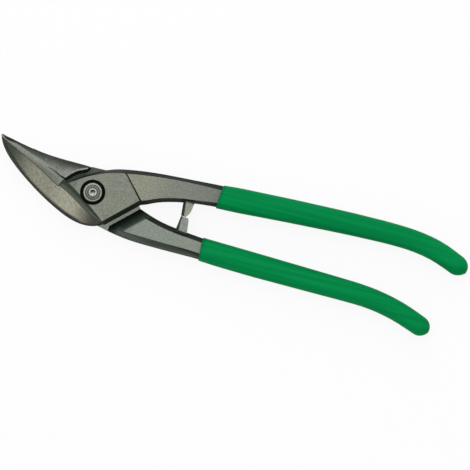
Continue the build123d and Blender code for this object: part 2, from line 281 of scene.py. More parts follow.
class Effects:
    """Shader node groups that several finishes share, each built once.

    Attributes:
        mottle_span: values of the noise between which the mottle goes from 0 to 1.
        streak_span: the same for the streaks.
        rubbed_span: the same for the gaps in the rubbed edges.
        rubbed_scale: fineness of those gaps, in 1/m.
        line_detail, rubbed_detail: finer layers of the noise of the streaks and of the gaps.
    """

    mottle_span: tuple[float, float] = (0.34, 0.66)
    streak_span: tuple[float, float] = (0.3, 0.7)
    rubbed_span: tuple[float, float] = (0.35, 0.6)
    rubbed_scale: float = 420.0
    line_detail: float = 2.0
    rubbed_detail: float = 3.0

    def __init__(self) -> None:
        """Build every group."""
        self.mottle = self._mottle()
        self.streaks = self._streaks()
        self.places = self._places()
        self.along = self._along()
        self.around = self._around()
        self.wear_and_glint = self._wear_and_glint()

    @staticmethod
    def place(wiring: Wiring, effect: bpy.types.NodeTree, **values: object) -> bpy.types.Node:
        """Put a group into a material.

        Args:
            wiring: the material's wiring.
            effect: the group.
            values: what feeds the group's inputs, with _ for a space in their names.

        Returns:
            The group's node.
        """
        made = wiring.tree.nodes.new("ShaderNodeGroup")
        made.node_tree = effect
        wiring.feed_all(made, **values)
        return made

    @staticmethod
    def _ends(wiring: Wiring) -> tuple[bpy.types.Node, bpy.types.Node]:
        """Group Input and Group Output nodes of a group."""
        nodes = wiring.tree.nodes
        return nodes["Group Input"], nodes["Group Output"]

    def _mottle(self) -> bpy.types.NodeTree:
        """Even speckle of a blasted or moulded skin, at one grain size.

        Returns:
            Group with the inputs Grain Size and Detail, and the outputs Mask and Height.
        """
        made = group("mottle", {"Grain Size": ("Float", 1.0 * MM), "Detail": ("Float", 3.0)},
                     {"Mask": "Float", "Height": "Float"})
        start, end = self._ends(made)
        place = made.node("TexCoord").outputs["Object"]
        fineness = made.math("DIVIDE", 1.0, start.outputs["Grain Size"], clamp=False)
        grain = made.noise(place, fineness, start.outputs["Detail"])
        made.feed_all(end, Mask=made.ramp(grain, *self.mottle_span), Height=grain)
        return made.tree

    def _streaks(self) -> bpy.types.NodeTree:
        """Fine parallel lines left by a grinding wheel or by drawing.

        Returns:
            Group with the inputs Turn, Line Width and Line Length, and the output Mask.
        """
        made = group("streaks", {"Turn": ("Float", 0.0), "Line Width": ("Float", 0.3 * MM),
                                 "Line Length": ("Float", 12 * MM)}, {"Mask": "Float"})
        start, end = self._ends(made)
        place = made.node("TexCoord").outputs["Object"]
        aligned = made.node("VectorRotate", rotation_type="Z_AXIS")
        made.feed_all(aligned, Vector=place, Angle=start.outputs["Turn"])
        width, length = start.outputs["Line Width"], start.outputs["Line Length"]
        size = made.node("CombineXYZ")
        made.feed_all(size, X=length, Y=width, Z=length)
        shrunk = made.vector("DIVIDE", aligned.outputs["Vector"], size.outputs["Vector"])
        lines = made.noise(shrunk.outputs["Vector"], 1.0, self.line_detail)
        made.feed(made.ramp(lines, *self.streak_span), end.inputs["Mask"])
        return made.tree

    def _places(self) -> bpy.types.NodeTree:
        """Where a spot lies about the pivot, in millimetres, and how level its face is.

        Returns:
            Group with the outputs Height, Rise and Flatness.
        """
        made = group("places", {}, {"Height": "Float", "Rise": "Float", "Flatness": "Float"})
        _, end = self._ends(made)
        place = made.node("TexCoord")
        split = made.node("SeparateXYZ")
        made.feed(place.outputs["Object"], split.inputs["Vector"])
        above = made.math("SUBTRACT", split.outputs["Z"], MATING_HEIGHT, clamp=False)
        rise_mm = made.math("DIVIDE", above, MM, clamp=False)
        facing = made.node("SeparateXYZ")
        made.feed(place.outputs["Normal"], facing.inputs["Vector"])
        level = made.math("ABSOLUTE", facing.outputs["Z"], clamp=False)
        away = made.math("ABSOLUTE", rise_mm, clamp=False)
        made.feed_all(end, Rise=rise_mm, Height=away, Flatness=level)
        return made.tree

    def _along(self) -> bpy.types.NodeTree:
        """How far a spot lies from the pivot axis along a direction in plan, in millimetres.

        Returns:
            Group with the input Direction and the output Distance.
        """
        made = group("along", {"Direction": ("Vector", (1.0, 0.0, 0.0))}, {"Distance": "Float"})
        start, end = self._ends(made)
        place = made.node("TexCoord").outputs["Object"]
        dot = made.vector("DOT_PRODUCT", place, start.outputs["Direction"])
        made.feed(made.math("DIVIDE", dot.outputs["Value"], MM, clamp=False), end.inputs["Distance"])
        return made.tree

    def _around(self) -> bpy.types.NodeTree:
        """How far a spot lies from a point in plan, in millimetres.

        Returns:
            Group with the input Centre, in millimetres, and the output Distance.
        """
        made = group("around", {"Centre": ("Vector", (0.0, 0.0, 0.0))}, {"Distance": "Float"})
        start, end = self._ends(made)
        place = made.node("TexCoord").outputs["Object"]
        in_plan = made.vector("MULTIPLY", place, (PER_MM, PER_MM, 0.0))
        away = made.vector("DISTANCE", in_plan.outputs["Vector"], start.outputs["Centre"])
        made.feed(away.outputs["Value"], end.inputs["Distance"])
        return made.tree

    def _wear_and_glint(self) -> bpy.types.NodeTree:
        """Bright abraded metal with a painted glint along broken edges, from the worn_and_glint attribute of
        a mesh.

        Returns:
            Group with the input Amount and the output Mask.
        """
        made = group("wear_and_glint", {"Amount": ("Float", 0.5)}, {"Mask": "Float"})
        start, end = self._ends(made)
        worn_and_glint = made.node("Attribute", attribute_name="worn_and_glint")
        place = made.node("TexCoord").outputs["Object"]
        patches = made.ramp(made.noise(place, self.rubbed_scale, self.rubbed_detail), *self.rubbed_span)
        rubbed_and_glint = made.math("MULTIPLY", worn_and_glint.outputs["Fac"], patches)
        made.feed(made.math("MULTIPLY", rubbed_and_glint, start.outputs["Amount"]), end.inputs["Mask"])
        return made.tree


# ---- finishes ------------------------------------------------------------------------
def new_material(name: str) -> tuple[bpy.types.Material, Wiring, bpy.types.Node]:
    """Start a material with a Principled shader.

    Args:
        name: the material's name.

    Returns:
        The material, its wiring and its Principled node.
    """
    made = bpy.data.materials.new(name)
    made.use_nodes = True
    return made, Wiring(made.node_tree), made.node_tree.nodes["Principled BSDF"]


def bump(wiring: Wiring, height: object, distance: float, strength: float,
         under: object = None) -> bpy.types.NodeSocket:
    """Bump from a height mask.

    Args:
        wiring: the material's wiring.
        height: the height socket.
        distance: how deep the relief is, in metres.
        strength: share of the relief that shows.
        under: normal that this relief lies on.

    Returns:
        The bumped normal.
    """
    made = wiring.node("Bump")
    wiring.feed_all(made, Distance=distance, Strength=strength, Height=height)
    if under is not None:
        wiring.feed(under, made.inputs["Normal"])
    return made.outputs["Normal"]


def compass(heading: float) -> tuple[float, float, float]:
    """Unit vector in plan, from its heading in degrees from X."""
    turn = math.radians(heading)
    return math.cos(turn), math.sin(turn), 0.0


class Measure(Enum):
    """What a step of a tone goes by; lengths are in millimetres."""

    PLAN = "distance from the pivot axis along a heading"
    HEIGHT = "distance from the mating plane to either side"
    RISE = "height above the mating plane"
    AROUND = "distance in plan from a centre"
    FLATNESS = "1 on a level face, 0 on an upright one"


@dataclass(frozen=True)
class Step:
    """Border of a tone, which goes from nothing at start to all of it at end.

    Attributes:
        measure: what it goes by.
        start: where the tone starts.
        end: where it is full; it may lie below start.
        heading: direction in plan, in degrees from X, for PLAN.
        centre: point in plan, in millimetres, for AROUND.
    """

    measure: Measure
    start: float
    end: float
    heading: float = 0.0
    centre: tuple[float, float] = (0.0, 0.0)


@dataclass(frozen=True)
class Tone:
    """Colour of one stretch of a forging; many are painted light and shade rather than the steel's own
    colour.

    Attributes:
        colour: red, green and blue of 0 to 255.
        steps: the borders; the tone lies inside all of them.
    """

    colour: tuple[int, int, int]
    steps: tuple[Step, ...]


def plan(heading: float, start: float, end: float) -> Step:
    """Step along a heading in plan."""
    return Step(Measure.PLAN, start, end, heading)


def around(centre: tuple[float, float], start: float, end: float) -> Step:
    """Step by the distance from a point in plan."""
    return Step(Measure.AROUND, start, end, centre=centre)


def height(start: float, end: float) -> Step:
    """Step by the distance from the mating plane."""
    return Step(Measure.HEIGHT, start, end)


def rise(start: float, end: float) -> Step:
    """Step by the height above the mating plane."""
    return Step(Measure.RISE, start, end)


def flatness(start: float, end: float) -> Step:
    """Step by how level a face lies."""
    return Step(Measure.FLATNESS, start, end)


PIVOT_POINT = (0.0, 0.0)
NOSE_POINT = (-14.5, 0.4)
BELLY_CENTRE = (19.4, 93.6)
CREST_CENTRE = (-29.6, 198.7)
SHOULDER_CENTRE = (0.9, -8.9)
STEP_HEADING = 48.2
HEEL_HEADING = -41.8
POINT_HEADING = 166.0
CREST_HEADING = 76.4
NOSE_HEADING = -120.0
CROWN_HEADING = 110.0

LEVEL = flatness(0.972, 0.985)
TILTED = flatness(0.97, 0.93)
STEEP = flatness(0.93, 0.8)
NOT_STEEP = flatness(0.75, 0.85)
HANDLE = height(4.5, 5.2)
BLADE = height(3.4, 3.0)
MATING_FACE = height(0.5, 0.1)
BEYOND_BAND = plan(CREST_HEADING, -1.2, -0.5)
BEFORE_BOSS = plan(180, 5, 6)

# Upper forging: own colours of its stretches with painted shade, shadow and highlights, each over those
# before
UPPER_TONES_AND_PAINTED_LIGHT = (
    Tone((141, 144, 128), (plan(STEP_HEADING, 21.6, 22.0), HANDLE, LEVEL)),
    Tone((128, 131, 122), (plan(0, 26, 46), HANDLE, LEVEL)),
    Tone((122, 125, 118), (plan(0, 46, 64), HANDLE, LEVEL)),
    Tone((112, 120, 110), (height(5.5, 5.8), around(NOSE_POINT, 6.2, 3.2), LEVEL)),
    Tone((129, 129, 114), (BLADE, LEVEL)),
    Tone((148, 147, 131), (BLADE, plan(0, -27, -13), LEVEL)),
    # painted shade: ground face darker towards the point, where it curves away
    Tone((58, 66, 58), (BLADE, plan(POINT_HEADING, 31, 54), LEVEL)),
    # painted shade: heel of the ground face in the boss's shade
    Tone((62, 64, 55), (BLADE, plan(0, -9, 6), LEVEL)),
    # painted shade along the rounded belly edge at the heel
    Tone((48, 50, 42), (BLADE, around(BELLY_CENTRE, 112.6, 114.2), plan(0, 2, -3), LEVEL)),
    # painted light and shade on the wall between blade and boss: lighter at its foot
    Tone((92, 100, 88), (height(2.85, 3.1), height(5.6, 5.0), plan(NOSE_HEADING, 3, 6), TILTED)),
    # painted shade on that wall's upper part
    Tone((62, 73, 63), (height(4.0, 4.6), plan(NOSE_HEADING, 3, 6), TILTED)),
    # painted shade on the back edge of the boss
    Tone((60, 64, 56), (plan(CROWN_HEADING, 11, 13), TILTED)),
    # painted shade on the edge along the lower step
    Tone((38, 45, 38), (plan(HEEL_HEADING, 16.9, 17.3), plan(0, 29, 27), height(0.3, 0.6), TILTED)),
    # painted shadow in the step groove
    Tone((28, 28, 17), (plan(STEP_HEADING, 21.1, 21.4), plan(STEP_HEADING, 23.2, 22.8),
                        height(4.6, 4.9), STEEP)),
    # painted shade in the gap round the bolt head
    Tone((3, 6, 4), (around(PIVOT_POINT, 7.45, 7.2),)),
    Tone((140, 146, 131), (plan(0, 44, 46), plan(90, 13.5, 13.0), BLADE, LEVEL)),
    # painted shade along the side of the upper lug
    Tone((44, 52, 44), (plan(0, 44, 46), plan(191, -54.2, -53.8), BLADE, LEVEL)),
)
# Lower forging: own colours of its stretches with painted shade, shadow and highlights, each over those
# before
LOWER_TONES_AND_PAINTED_LIGHT = (
    Tone((136, 143, 133), (plan(0, 26, 30), HANDLE, LEVEL)),
    # painted shade on the handle facet beside the step wall
    Tone((58, 66, 58), (plan(HEEL_HEADING, 28.6, 27.4), plan(HEEL_HEADING, 25.2, 26.0), HANDLE, LEVEL)),
    Tone((108, 113, 103), (MATING_FACE, plan(180, 16.5, 23), LEVEL)),
    # painted highlight along the upper border of the mating-face band
    Tone((133, 135, 125), (MATING_FACE, plan(CREST_HEADING, -5.0, -1.8), plan(180, 20, 27), LEVEL)),
    Tone((118, 123, 115), (BEFORE_BOSS, BEYOND_BAND, rise(-2.9, -2.6), NOT_STEEP)),
    # painted light: the ramp is lighter towards the shoulder, where it faces the light
    Tone((144, 149, 141), (BEFORE_BOSS, around(SHOULDER_CENTRE, 30, 22.5), rise(-0.2, 0.3), NOT_STEEP)),
    # painted shade along the rounded back of the blade
    Tone((58, 63, 56), (BEFORE_BOSS, BEYOND_BAND, around(CREST_CENTRE, 194, 187), rise(-2.9, -2.6),
                        NOT_STEEP)),
    # painted shade on the steeper part of the ramp
    Tone((52, 58, 51), (plan(180, 17, 18), plan(180, 31, 27), rise(-0.1, 0.1), flatness(0.88, 0.78))),
    # painted shade in a thin line along the band's upper border
    Tone((68, 74, 67), (plan(CREST_HEADING, -2.5, -2.1), plan(CREST_HEADING, -1.4, -1.75),
                        plan(180, 21, 23), plan(180, 30.5, 27.5), NOT_STEEP)),
    # painted highlight on the lip of the ramp's shoulder
    Tone((152, 160, 151), (BEFORE_BOSS, plan(180, 16.5, 14.5), around(SHOULDER_CENTRE, 23.1, 22.4),
                           rise(0.5, 1.0), NOT_STEEP)),
    # painted shade in the recess between the ramp's shoulder and the boss
    Tone((76, 82, 75), (MATING_FACE, around(SHOULDER_CENTRE, 22.0, 21.7), plan(180, 21, 19), LEVEL)),
    # deeper painted shade in that recess
    Tone((56, 64, 56), (MATING_FACE, around(SHOULDER_CENTRE, 22.0, 21.7), plan(0, -2.5, -5.5),
                        plan(180, 21, 19), LEVEL)),
    # painted shade on the mating face beyond the boss crown
    Tone((78, 84, 77), (MATING_FACE, plan(0, -8, -6), LEVEL)),
    Tone((130, 136, 126), (MATING_FACE, plan(HEEL_HEADING, 18.4, 19.2), LEVEL)),
    # painted shade on the shoulder's upright face
    Tone((12, 18, 14), (BEFORE_BOSS, plan(180, 20, 18.5), plan(90, 0.5, 1.5), rise(0.0, 0.1),
                        flatness(0.7, 0.5))),
    # painted shadow at the foot of the shoulder
    Tone((4, 9, 6), (plan(180, 4, 5), plan(180, 19.5, 18.5), plan(90, 0, 0.5), rise(-0.05, -0.3),
                     rise(-1.9, -1.6))),
    # painted shade on the step wall's upper part
    Tone((14, 22, 16), (plan(HEEL_HEADING, 21.0, 21.6), plan(HEEL_HEADING, 28, 27.2), rise(0.0, 0.2),
                        flatness(0.95, 0.85))),
    # painted shade at the step wall's foot
    Tone((50, 60, 52), (plan(HEEL_HEADING, 22.6, 27.8), plan(HEEL_HEADING, 28.6, 28.2), rise(0.2, 0.6),
                        flatness(0.95, 0.85))),
    # painted shade on the outer draft of the lower handle
    Tone((64, 73, 64), (plan(0, 19, 23), plan(-90, 13.0, 14.2), height(5.8, 5.4), STEEP)),
    # painted light on that draft near the heel
    Tone((90, 98, 90), (plan(0, 19, 23), plan(0, 42, 28), plan(-90, 15.0, 16.0), height(5.8, 5.4), STEEP)),
    # painted light on its lower part
    Tone((82, 91, 83), (plan(0, 19, 23), plan(-90, 13.0, 14.2), height(3.0, 1.8), STEEP)),
    # painted shade round the edges of the lower lug
    Tone((36, 44, 38), (plan(0, 44, 46), height(4.7, 4.3), LEVEL)),
    Tone((140, 146, 137), (plan(0, 44, 46), plan(90, -3.9, -3.2), height(4.7, 4.3), LEVEL)),
    # painted shade along the side of the lower lug
    Tone((44, 52, 44), (plan(0, 44, 46), plan(186.5, -53.4, -53.0), height(4.7, 4.3), LEVEL)),
)


@dataclass(frozen=True)
class ForgedSteel:
    """Blasted forging with ground blade faces, dark scale and painted shade on its drafted sides, and
    painted light and shade in many stretch colours.

    Attributes:
        name: the material's name.
        tones_and_painted_light: the colours of its stretches, many of them painted light and shade, each
            laid over those before it.
        skin: level faces that no tone covers.
        slope_shade: painted shade on faces that lean a little.
        scale: dark scale with painted shade on steep faces.
        rubbed_and_glint: bright abraded metal with a painted glint on broken edges.
        ground_depth: how far from the mating plane a ground face may lie.
        grain_turn: direction of the grinding lines, in degrees from X.
        metallic: how much of the light it mirrors as a metal does.
        gloss: specular level of the dark scale.
        wear_and_glint: how bright the abraded and glinting broken edges are.
        pocket_reach: radius of the bolt's pocket with its rim of painted shade, in millimetres.
        pocket_fade: over how many millimetres the rubbed edges come back round it.
        scale_and_shade_span: flatness between which a leaning face turns to dark scale with painted shade.
        skin_span: flatness between which a slope turns to skin.
        ground_span: flatness between which a face counts as ground.
        ground_fade: over how many millimetres the grinding ends.
        grain, grain_shade, grain_depth: size, darkest and brightest share, and relief of the blasting.
        cloud, cloud_shade: size and shares of the patches.
        line_width, line_length, line_shade, line_depth: the grinding lines.
        roughness, ground_roughness: of the skin and of the ground faces.
    """

    name: str
    tones_and_painted_light: tuple[Tone, ...]
    skin: tuple[int, int, int] = (130, 134, 122)
    # painted shade: leaning faces are darker, and steep faces are dark scale with painted shade
    slope_shade: tuple[int, int, int] = (70, 76, 68)
    scale: tuple[int, int, int] = (36, 43, 37)
    rubbed_and_glint: tuple[int, int, int] = (156, 160, 150)
    ground_depth: float = 3.1
    grain_turn: float = 69.0
    metallic: float = 0.25
    gloss: float = 0.08
    wear_and_glint: float = 0.55
    pocket_reach: float = 7.5
    pocket_fade: float = 0.5
    scale_and_shade_span: tuple[float, float] = (0.93, 0.72)
    skin_span: tuple[float, float] = (0.925, 0.965)
    ground_span: tuple[float, float] = (0.972, 0.99)
    ground_fade: float = 0.2
    grain: float = 0.8 * MM
    grain_shade: tuple[float, float] = (0.8, 1.15)
    grain_depth: float = 0.06 * MM
    cloud: float = 2.4 * MM
    cloud_shade: tuple[float, float] = (0.97, 1.02)
    line_width: float = 0.4 * MM
    line_length: float = 5 * MM
    line_shade: tuple[float, float] = (0.95, 1.1)
    line_depth: float = 0.02 * MM
    roughness: float = 0.58
    ground_roughness: float = 0.44

    def build(self, effects: Effects) -> bpy.types.Material:
        """Make the material.

        Args:
            effects: the shared node groups.

        Returns:
            The material.
        """
        made, wiring, shader = new_material(self.name)
        places = effects.place(wiring, effects.places)
        flat = places.outputs["Flatness"]
        # painted shade by how far a face leans, with dark scale on the steepest
        colour = wiring.mix(wiring.ramp(flat, *self.scale_and_shade_span), linear(*self.slope_shade), linear(*self.scale))
        colour = wiring.mix(wiring.ramp(flat, *self.skin_span), colour, linear(*self.skin))
        # stretch colours with painted light and shade, each laid over the last
        for tone in self.tones_and_painted_light:
            colour = wiring.mix(self.mask(effects, wiring, places, tone), colour, linear(*tone.colour))
        near = wiring.ramp(places.outputs["Height"], self.ground_depth + self.ground_fade,
                           self.ground_depth)
        ground = wiring.math("MULTIPLY", wiring.ramp(flat, *self.ground_span), near)
        fine = effects.place(wiring, effects.mottle, Grain_Size=self.grain, Detail=2.0)
        cloud = effects.place(wiring, effects.mottle, Grain_Size=self.cloud, Detail=3.0)
        streaks = effects.place(wiring, effects.streaks, Turn=math.radians(-self.grain_turn),
                                Line_Width=self.line_width, Line_Length=self.line_length)
        colour = wiring.shade(colour, fine.outputs["Mask"], *self.grain_shade)
        colour = wiring.shade(colour, cloud.outputs["Mask"], *self.cloud_shade)
        lines = wiring.math("MULTIPLY", streaks.outputs["Mask"], ground)
        colour = wiring.shade(colour, lines, *self.line_shade)
        # abraded metal with a painted glint on broken edges, kept off the bolt pocket
        worn_and_glint = effects.place(wiring, effects.wear_and_glint, Amount=self.wear_and_glint)
        away = effects.place(wiring, effects.around).outputs["Distance"]
        outside = wiring.ramp(away, self.pocket_reach, self.pocket_reach + self.pocket_fade)
        bare_and_glint = wiring.math("MULTIPLY", worn_and_glint.outputs["Mask"], outside)
        relief = bump(wiring, fine.outputs["Height"], self.grain_depth, strength=0.6)
        wiring.feed_all(shader, Base_Color=wiring.mix(bare_and_glint, colour, linear(*self.rubbed_and_glint)),
                        Metallic=self.metallic, Specular_IOR_Level=self.gloss,
                        Roughness=wiring.between(ground, self.roughness, self.ground_roughness),
                        Normal=bump(wiring, lines, self.line_depth, strength=0.5, under=relief))
        return made

    def mask(self, effects: Effects, wiring: Wiring, places: bpy.types.Node,
             tone: Tone) -> bpy.types.NodeSocket:
        """Where a tone lies.

        Args:
            effects: the shared node groups.
            wiring: the material's wiring.
            places: node with the measures.
            tone: the tone.

        Returns:
            The product of its steps.
        """
        product = None
        for step in tone.steps:
            if step.measure is Measure.PLAN:
                along = effects.place(wiring, effects.along, Direction=compass(step.heading))
                value = along.outputs["Distance"]
            elif step.measure is Measure.AROUND:
                round_it = effects.place(wiring, effects.around, Centre=(*step.centre, 0.0))
                value = round_it.outputs["Distance"]
            else:
                value = places.outputs[step.measure.name.capitalize()]
            here = wiring.ramp(value, step.start, step.end)
            product = here if product is None else wiring.math("MULTIPLY", product, here)
        return product


@dataclass(frozen=True)
class TurnedSteel:
    """Bright steel with the rings of a lathe tool round the pivot axis, painted light and shade in their
    greys and a rim of painted shade.

    Attributes:
        name: the material's name.
        reach: radius of the outermost ring, in millimetres.
        rings: (radius in millimetres, grey of 0 to 255) from the middle out; the greys hold the tool marks
            with painted highlights and painted shade, the last ones painted shade from the gap round the
            head.
        dimple: radius of the centre dimple, in millimetres, which has painted light on one side and painted
            shade on the other.
        lit_side_heading: the side with the painted light, in degrees from X.
        dimple_fade: over how many millimetres the dimple's painted light and shade end.
        lit_side_reach: how far to either side of the axis the painted shade turns into painted light, in
            millimetres.
        dimple_light_and_shade: what the dimple's painted shaded and lit sides are multiplied by.
        tint: what is added to a grey's red, green and blue.
        ring_pitch, ring_span, ring_shade, ring_depth: the finest tool marks.
        cloud, cloud_shade: size and shares of the patches.
        metallic: how much of the light it mirrors as a metal does.
        gloss: specular level of the rest.
        roughness, roughness_spread: of the smoothest marks, and how much rougher the others are.
    """

    name: str
    reach: float = 6.0
    # ring greys with painted highlights and painted shade; the last two are painted shade from the gap round
    # the head
    rings: tuple[tuple[float, int], ...] = (
        (0.0, 86), (1.35, 98), (1.75, 184), (2.1, 164), (2.4, 94), (2.9, 74), (3.4, 114), (3.9, 80),
        (4.3, 74), (4.7, 138), (5.15, 136), (5.4, 84), (5.9, 46))
    dimple: float = 1.7
    lit_side_heading: float = -70.0
    dimple_fade: float = 0.3
    lit_side_reach: float = 0.7
    dimple_light_and_shade: tuple[float, float] = (0.35, 2.4)
    tint: tuple[int, int, int] = (0, 2, -5)
    ring_pitch: float = 0.5 * MM
    ring_span: tuple[float, float] = (0.35, 0.65)
    ring_shade: tuple[float, float] = (0.74, 1.2)
    ring_depth: float = 0.03 * MM
    cloud: float = 0.75 * MM
    cloud_shade: tuple[float, float] = (0.66, 1.2)
    metallic: float = 0.85
    gloss: float = 0.2
    roughness: float = 0.34
    roughness_spread: float = 0.1

    def build(self, effects: Effects) -> bpy.types.Material:
        """Make the material.

        Args:
            effects: the shared node groups.

        Returns:
            The material.
        """
        made, wiring, shader = new_material(self.name)
        away = effects.place(wiring, effects.around).outputs["Distance"]
        share = wiring.math("DIVIDE", away, self.reach)
        greys = wiring.node("ValToRGB")
        wiring.feed(share, greys.inputs["Fac"])
        marks = greys.color_ramp.elements
        for spare in range(len(self.rings) - len(marks)):
            marks.new(spare / len(self.rings))
        for mark, (radius, grey) in zip(marks, self.rings):
            mark.position = radius / self.reach
            mark.color = linear(*(max(grey + more, 0) for more in self.tint))
        noise = wiring.node("TexNoise", noise_dimensions="1D")
        wiring.feed_all(noise, W=away, Scale=MM / self.ring_pitch, Detail=2.0)
        lines = wiring.ramp(noise.outputs["Fac"], *self.ring_span)
        cloud = effects.place(wiring, effects.mottle, Grain_Size=self.cloud, Detail=3.0)
        colour = wiring.shade(greys.outputs["Color"], lines, *self.ring_shade)
        # painted light on one side of the dimple and painted shade on the other
        across = effects.place(wiring, effects.along, Direction=compass(self.lit_side_heading))
        lit_side = wiring.ramp(across.outputs["Distance"], -self.lit_side_reach, self.lit_side_reach)
        dimple = wiring.ramp(away, self.dimple, self.dimple - self.dimple_fade)
        colour = wiring.shade(colour, dimple, 1.0, wiring.between(lit_side, *self.dimple_light_and_shade))
        rougher = self.roughness + self.roughness_spread
        wiring.feed_all(shader, Base_Color=wiring.shade(colour, cloud.outputs["Mask"], *self.cloud_shade),
                        Metallic=self.metallic, Specular_IOR_Level=self.gloss,
                        Roughness=wiring.between(cloud.outputs["Mask"], self.roughness, rougher),
                        Normal=bump(wiring, lines, self.ring_depth, strength=0.5))
        return made


@dataclass(frozen=True)
class PlainSteel:
    """Plated or oiled steel of the small pieces round the pivot.

    Attributes:
        name: the material's name.
        light: its brighter patches.
        dark: its darker patches.
        roughness: of its smoothest spots.
        roughness_spread: how much rougher the others are.
        rubbed_and_glint: bright abraded metal with a painted glint on broken edges.
        wear_and_glint: how bright those edges are.
        metallic: how much of the light it mirrors as a metal does.
        cloud: size of the patches.
        grain: size of the speckle.
        grain_depth: relief of the speckle.
    """

    name: str
    light: tuple[int, int, int]
    dark: tuple[int, int, int]
    roughness: float
    roughness_spread: float = 0.1
    rubbed_and_glint: tuple[int, int, int] = (205, 205, 198)
    wear_and_glint: float = 0.5
    metallic: float = 0.9
    cloud: float = 2.5 * MM
    grain: float = 0.4 * MM
    grain_depth: float = 0.02 * MM

    def build(self, effects: Effects) -> bpy.types.Material:
        """Make the material.

        Args:
            effects: the shared node groups.

        Returns:
            The material.
        """
        made, wiring, shader = new_material(self.name)
        cloud = effects.place(wiring, effects.mottle, Grain_Size=self.cloud, Detail=3.0)
        fine = effects.place(wiring, effects.mottle, Grain_Size=self.grain, Detail=2.0)
        colour = wiring.mix(cloud.outputs["Mask"], linear(*self.dark), linear(*self.light))
        worn_and_glint = effects.place(wiring, effects.wear_and_glint, Amount=self.wear_and_glint)
        rougher = self.roughness + self.roughness_spread
        wiring.feed_all(shader, Base_Color=wiring.mix(worn_and_glint.outputs["Mask"], colour, linear(*self.rubbed_and_glint)),
                        Metallic=self.metallic,
                        Roughness=wiring.between(fine.outputs["Mask"], self.roughness, rougher),
                        Normal=bump(wiring, fine.outputs["Height"], self.grain_depth, strength=0.5))
        return made


@dataclass(frozen=True)
class DippedVinyl:
    """Satin vinyl skin with faint runs along the grip and painted shade along its front rim.

    Attributes:
        name: the material's name.
        light: the brighter runs.
        dark: the darker runs.
        roughness, roughness_spread: of its smoothest spots, and how much rougher the others are.
        gloss: its specular level.
        shaded_rim_start: where the painted shade at the front rim is darkest, in millimetres from the pivot
            axis.
        shaded_rim_end: where it has faded.
        shaded_rim_factor: what the painted shade multiplies the colour by.
        run_turn: direction of the runs, in degrees from X.
        run_width: width of a run.
        run_length: its length.
        grain: size of the speckle.
        grain_depth: relief of the speckle.
    """

    name: str
    light: tuple[int, int, int] = (2, 138, 74)
    dark: tuple[int, int, int] = (0, 124, 65)
    roughness: float = 0.42
    gloss: float = 0.025
    shaded_rim_start: float = 69.2
    shaded_rim_end: float = 71.8
    shaded_rim_factor: float = 0.72
    roughness_spread: float = 0.08
    run_turn: float = 6.0
    run_width: float = 2.2 * MM
    run_length: float = 90 * MM
    grain: float = 1.1 * MM
    grain_depth: float = 0.04 * MM

    def build(self, effects: Effects) -> bpy.types.Material:
        """Make the material.

        Args:
            effects: the shared node groups.

        Returns:
            The material.
        """
        made, wiring, shader = new_material(self.name)
        runs = effects.place(wiring, effects.streaks, Turn=math.radians(-self.run_turn),
                             Line_Width=self.run_width, Line_Length=self.run_length)
        fine = effects.place(wiring, effects.mottle, Grain_Size=self.grain, Detail=3.0)
        along = effects.place(wiring, effects.along)
        colour = wiring.mix(runs.outputs["Mask"], linear(*self.dark), linear(*self.light))
        # painted shade where the grip's front rim meets the steel
        rim = wiring.ramp(along.outputs["Distance"], self.shaded_rim_start, self.shaded_rim_end)
        rougher = self.roughness + self.roughness_spread
        wiring.feed_all(shader, Base_Color=wiring.shade(colour, rim, self.shaded_rim_factor, 1.0),
                        Specular_IOR_Level=self.gloss,
                        Roughness=wiring.between(fine.outputs["Mask"], self.roughness, rougher),
                        Normal=bump(wiring, fine.outputs["Height"], self.grain_depth, strength=0.4))
        return made


# ---- mesh helpers --------------------------------------------------------------------
def keep(piece_name: str, mesh_work: bmesh.types.BMesh, material: bpy.types.Material, body: Body,
         replaced: str, crease: float = 32.0) -> bpy.types.Object:
    """Turn a finished bmesh into a piece of the part.

    Args:
        piece_name: the new object's name.
        mesh_work: the mesh, in the part's frame; it is freed.
        material: its finish.
        body: the body that it moves with.
        replaced: the CAD node that it stands for.
        crease: edges sharper than this many degrees stay crisp.

    Returns:
        The piece.
    """
    for edge in mesh_work.edges:
        if len(edge.link_faces) == 2:
            edge.smooth = edge.calc_face_angle(0.0) < math.radians(crease)
    for face in mesh_work.faces:
        face.smooth = True
    mesh = bpy.data.meshes.new(piece_name)
    mesh_work.to_mesh(mesh)
    mesh_work.free()
    mesh.materials.append(material)
    piece = bpy.data.objects.new(piece_name, mesh)
    bpy.context.collection.objects.link(piece)
    weighted = piece.modifiers.new("weighted normals", "WEIGHTED_NORMAL")
    weighted.keep_sharp = True
    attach(piece, body.value)
    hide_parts(replaced)
    log.info("%s: %d faces, on %s", piece_name, len(mesh.polygons), body.value)
    return piece


def merged_copy(node: str, flat_angle: float = 0.6, join: float = 0.002 * MM) -> bmesh.types.BMesh:
    """Copy of a CAD node with its loose triangles joined and its flat faces whole.

    Args:
        node: the CAD node.
        flat_angle: neighbours that meet at less than this many degrees are one face.
        join: points nearer than this are one.

    Returns:
        The copy.
    """
    work = bmesh.new()
    work.from_mesh(frame["nodes"][node].data)
    bmesh.ops.remove_doubles(work, verts=work.verts, dist=join)
    bmesh.ops.dissolve_limit(work, angle_limit=math.radians(flat_angle), verts=work.verts,
                             edges=work.edges, delimit=set())
    return work


